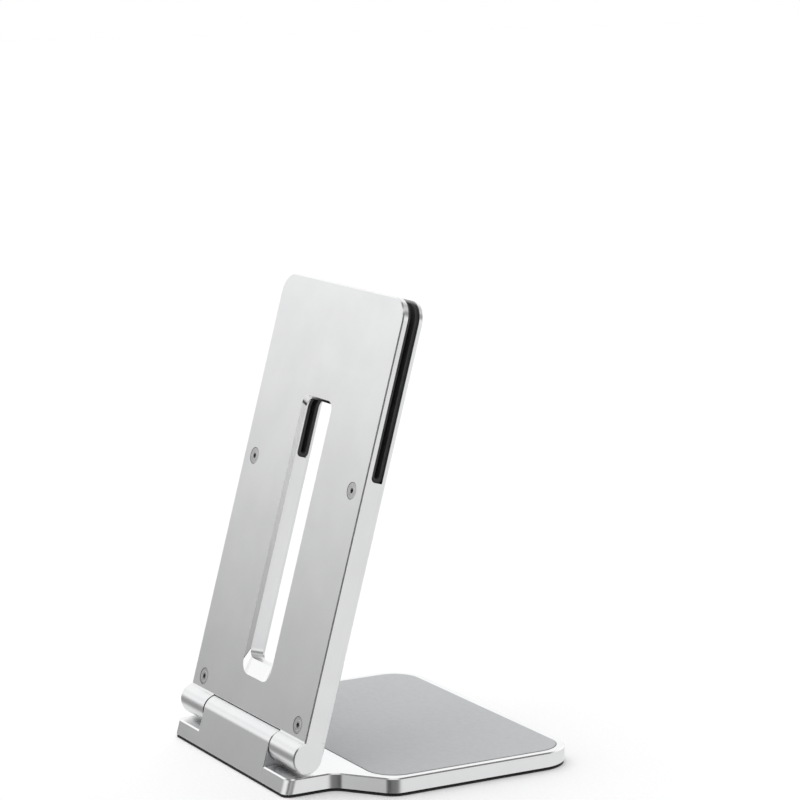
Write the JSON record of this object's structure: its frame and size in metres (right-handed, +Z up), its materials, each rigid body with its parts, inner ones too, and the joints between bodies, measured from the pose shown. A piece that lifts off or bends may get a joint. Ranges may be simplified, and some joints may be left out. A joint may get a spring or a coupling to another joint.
{
  "type": "tablet stand",
  "caption": "Folding aluminium desk stand: a leaning slotted arm grips a tablet's kickstand and folds down on a friction hinge over a flat weighted base.",
  "frame": {"origin": "on the surface that the stand rests on, under the middle of its overall footprint", "axes": "+Z up; +X along the hinge, towards the arm's capped end; -Y is the front, which the arm leans towards, and +Y the back"},
  "size_m": [0.1444, 0.1289, 0.1996],
  "materials": {
    "satin_aluminium": "bead-blasted silver anodising with bright cut edges",
    "grey_silicone": "fine matt grey",
    "dark_silicone": "matt dark grey",
    "black_rubber": "matt black",
    "black_nylon": "matt black",
    "sintered_bronze": "oiled, dull",
    "stainless_steel": "turned, plain"
  },
  "bodies": {
    "base": {"base_plate": "satin_aluminium", "base_top_pad": "grey_silicone", "base_foot_sheet": "black_rubber", "hinge_bush_left": "sintered_bronze", "hinge_bush_right": "sintered_bronze", "friction_washer_left": "black_nylon", "friction_washer_right": "black_nylon"},
    "arm": {"arm_frame": "satin_aluminium", "arm_front_plate": "satin_aluminium", "slot_liner": "dark_silicone", "hinge_shaft": "stainless_steel", "spring_seat": "stainless_steel", "hinge_lock_nut": "stainless_steel", "hinge_end_cap": "satin_aluminium", "disc_spring_1": "stainless_steel", "disc_spring_2": "stainless_steel", "disc_spring_3": "stainless_steel", "disc_spring_4": "stainless_steel", "arm_screw_upper_left": "stainless_steel", "press_nut_upper_left": "stainless_steel", "arm_screw_upper_right": "stainless_steel", "press_nut_upper_right": "stainless_steel", "arm_screw_lower_left": "stainless_steel", "press_nut_lower_left": "stainless_steel", "arm_screw_lower_right": "stainless_steel", "press_nut_lower_right": "stainless_steel"}
  },
  "joints": [
    {"name": "arm_fold", "type": "hinge", "parent": "base", "child": "arm", "pos_m": [0, 0.0537, 0.0154], "axis": [1, 0, 0], "range_deg": [-45, 75]}
  ]
}
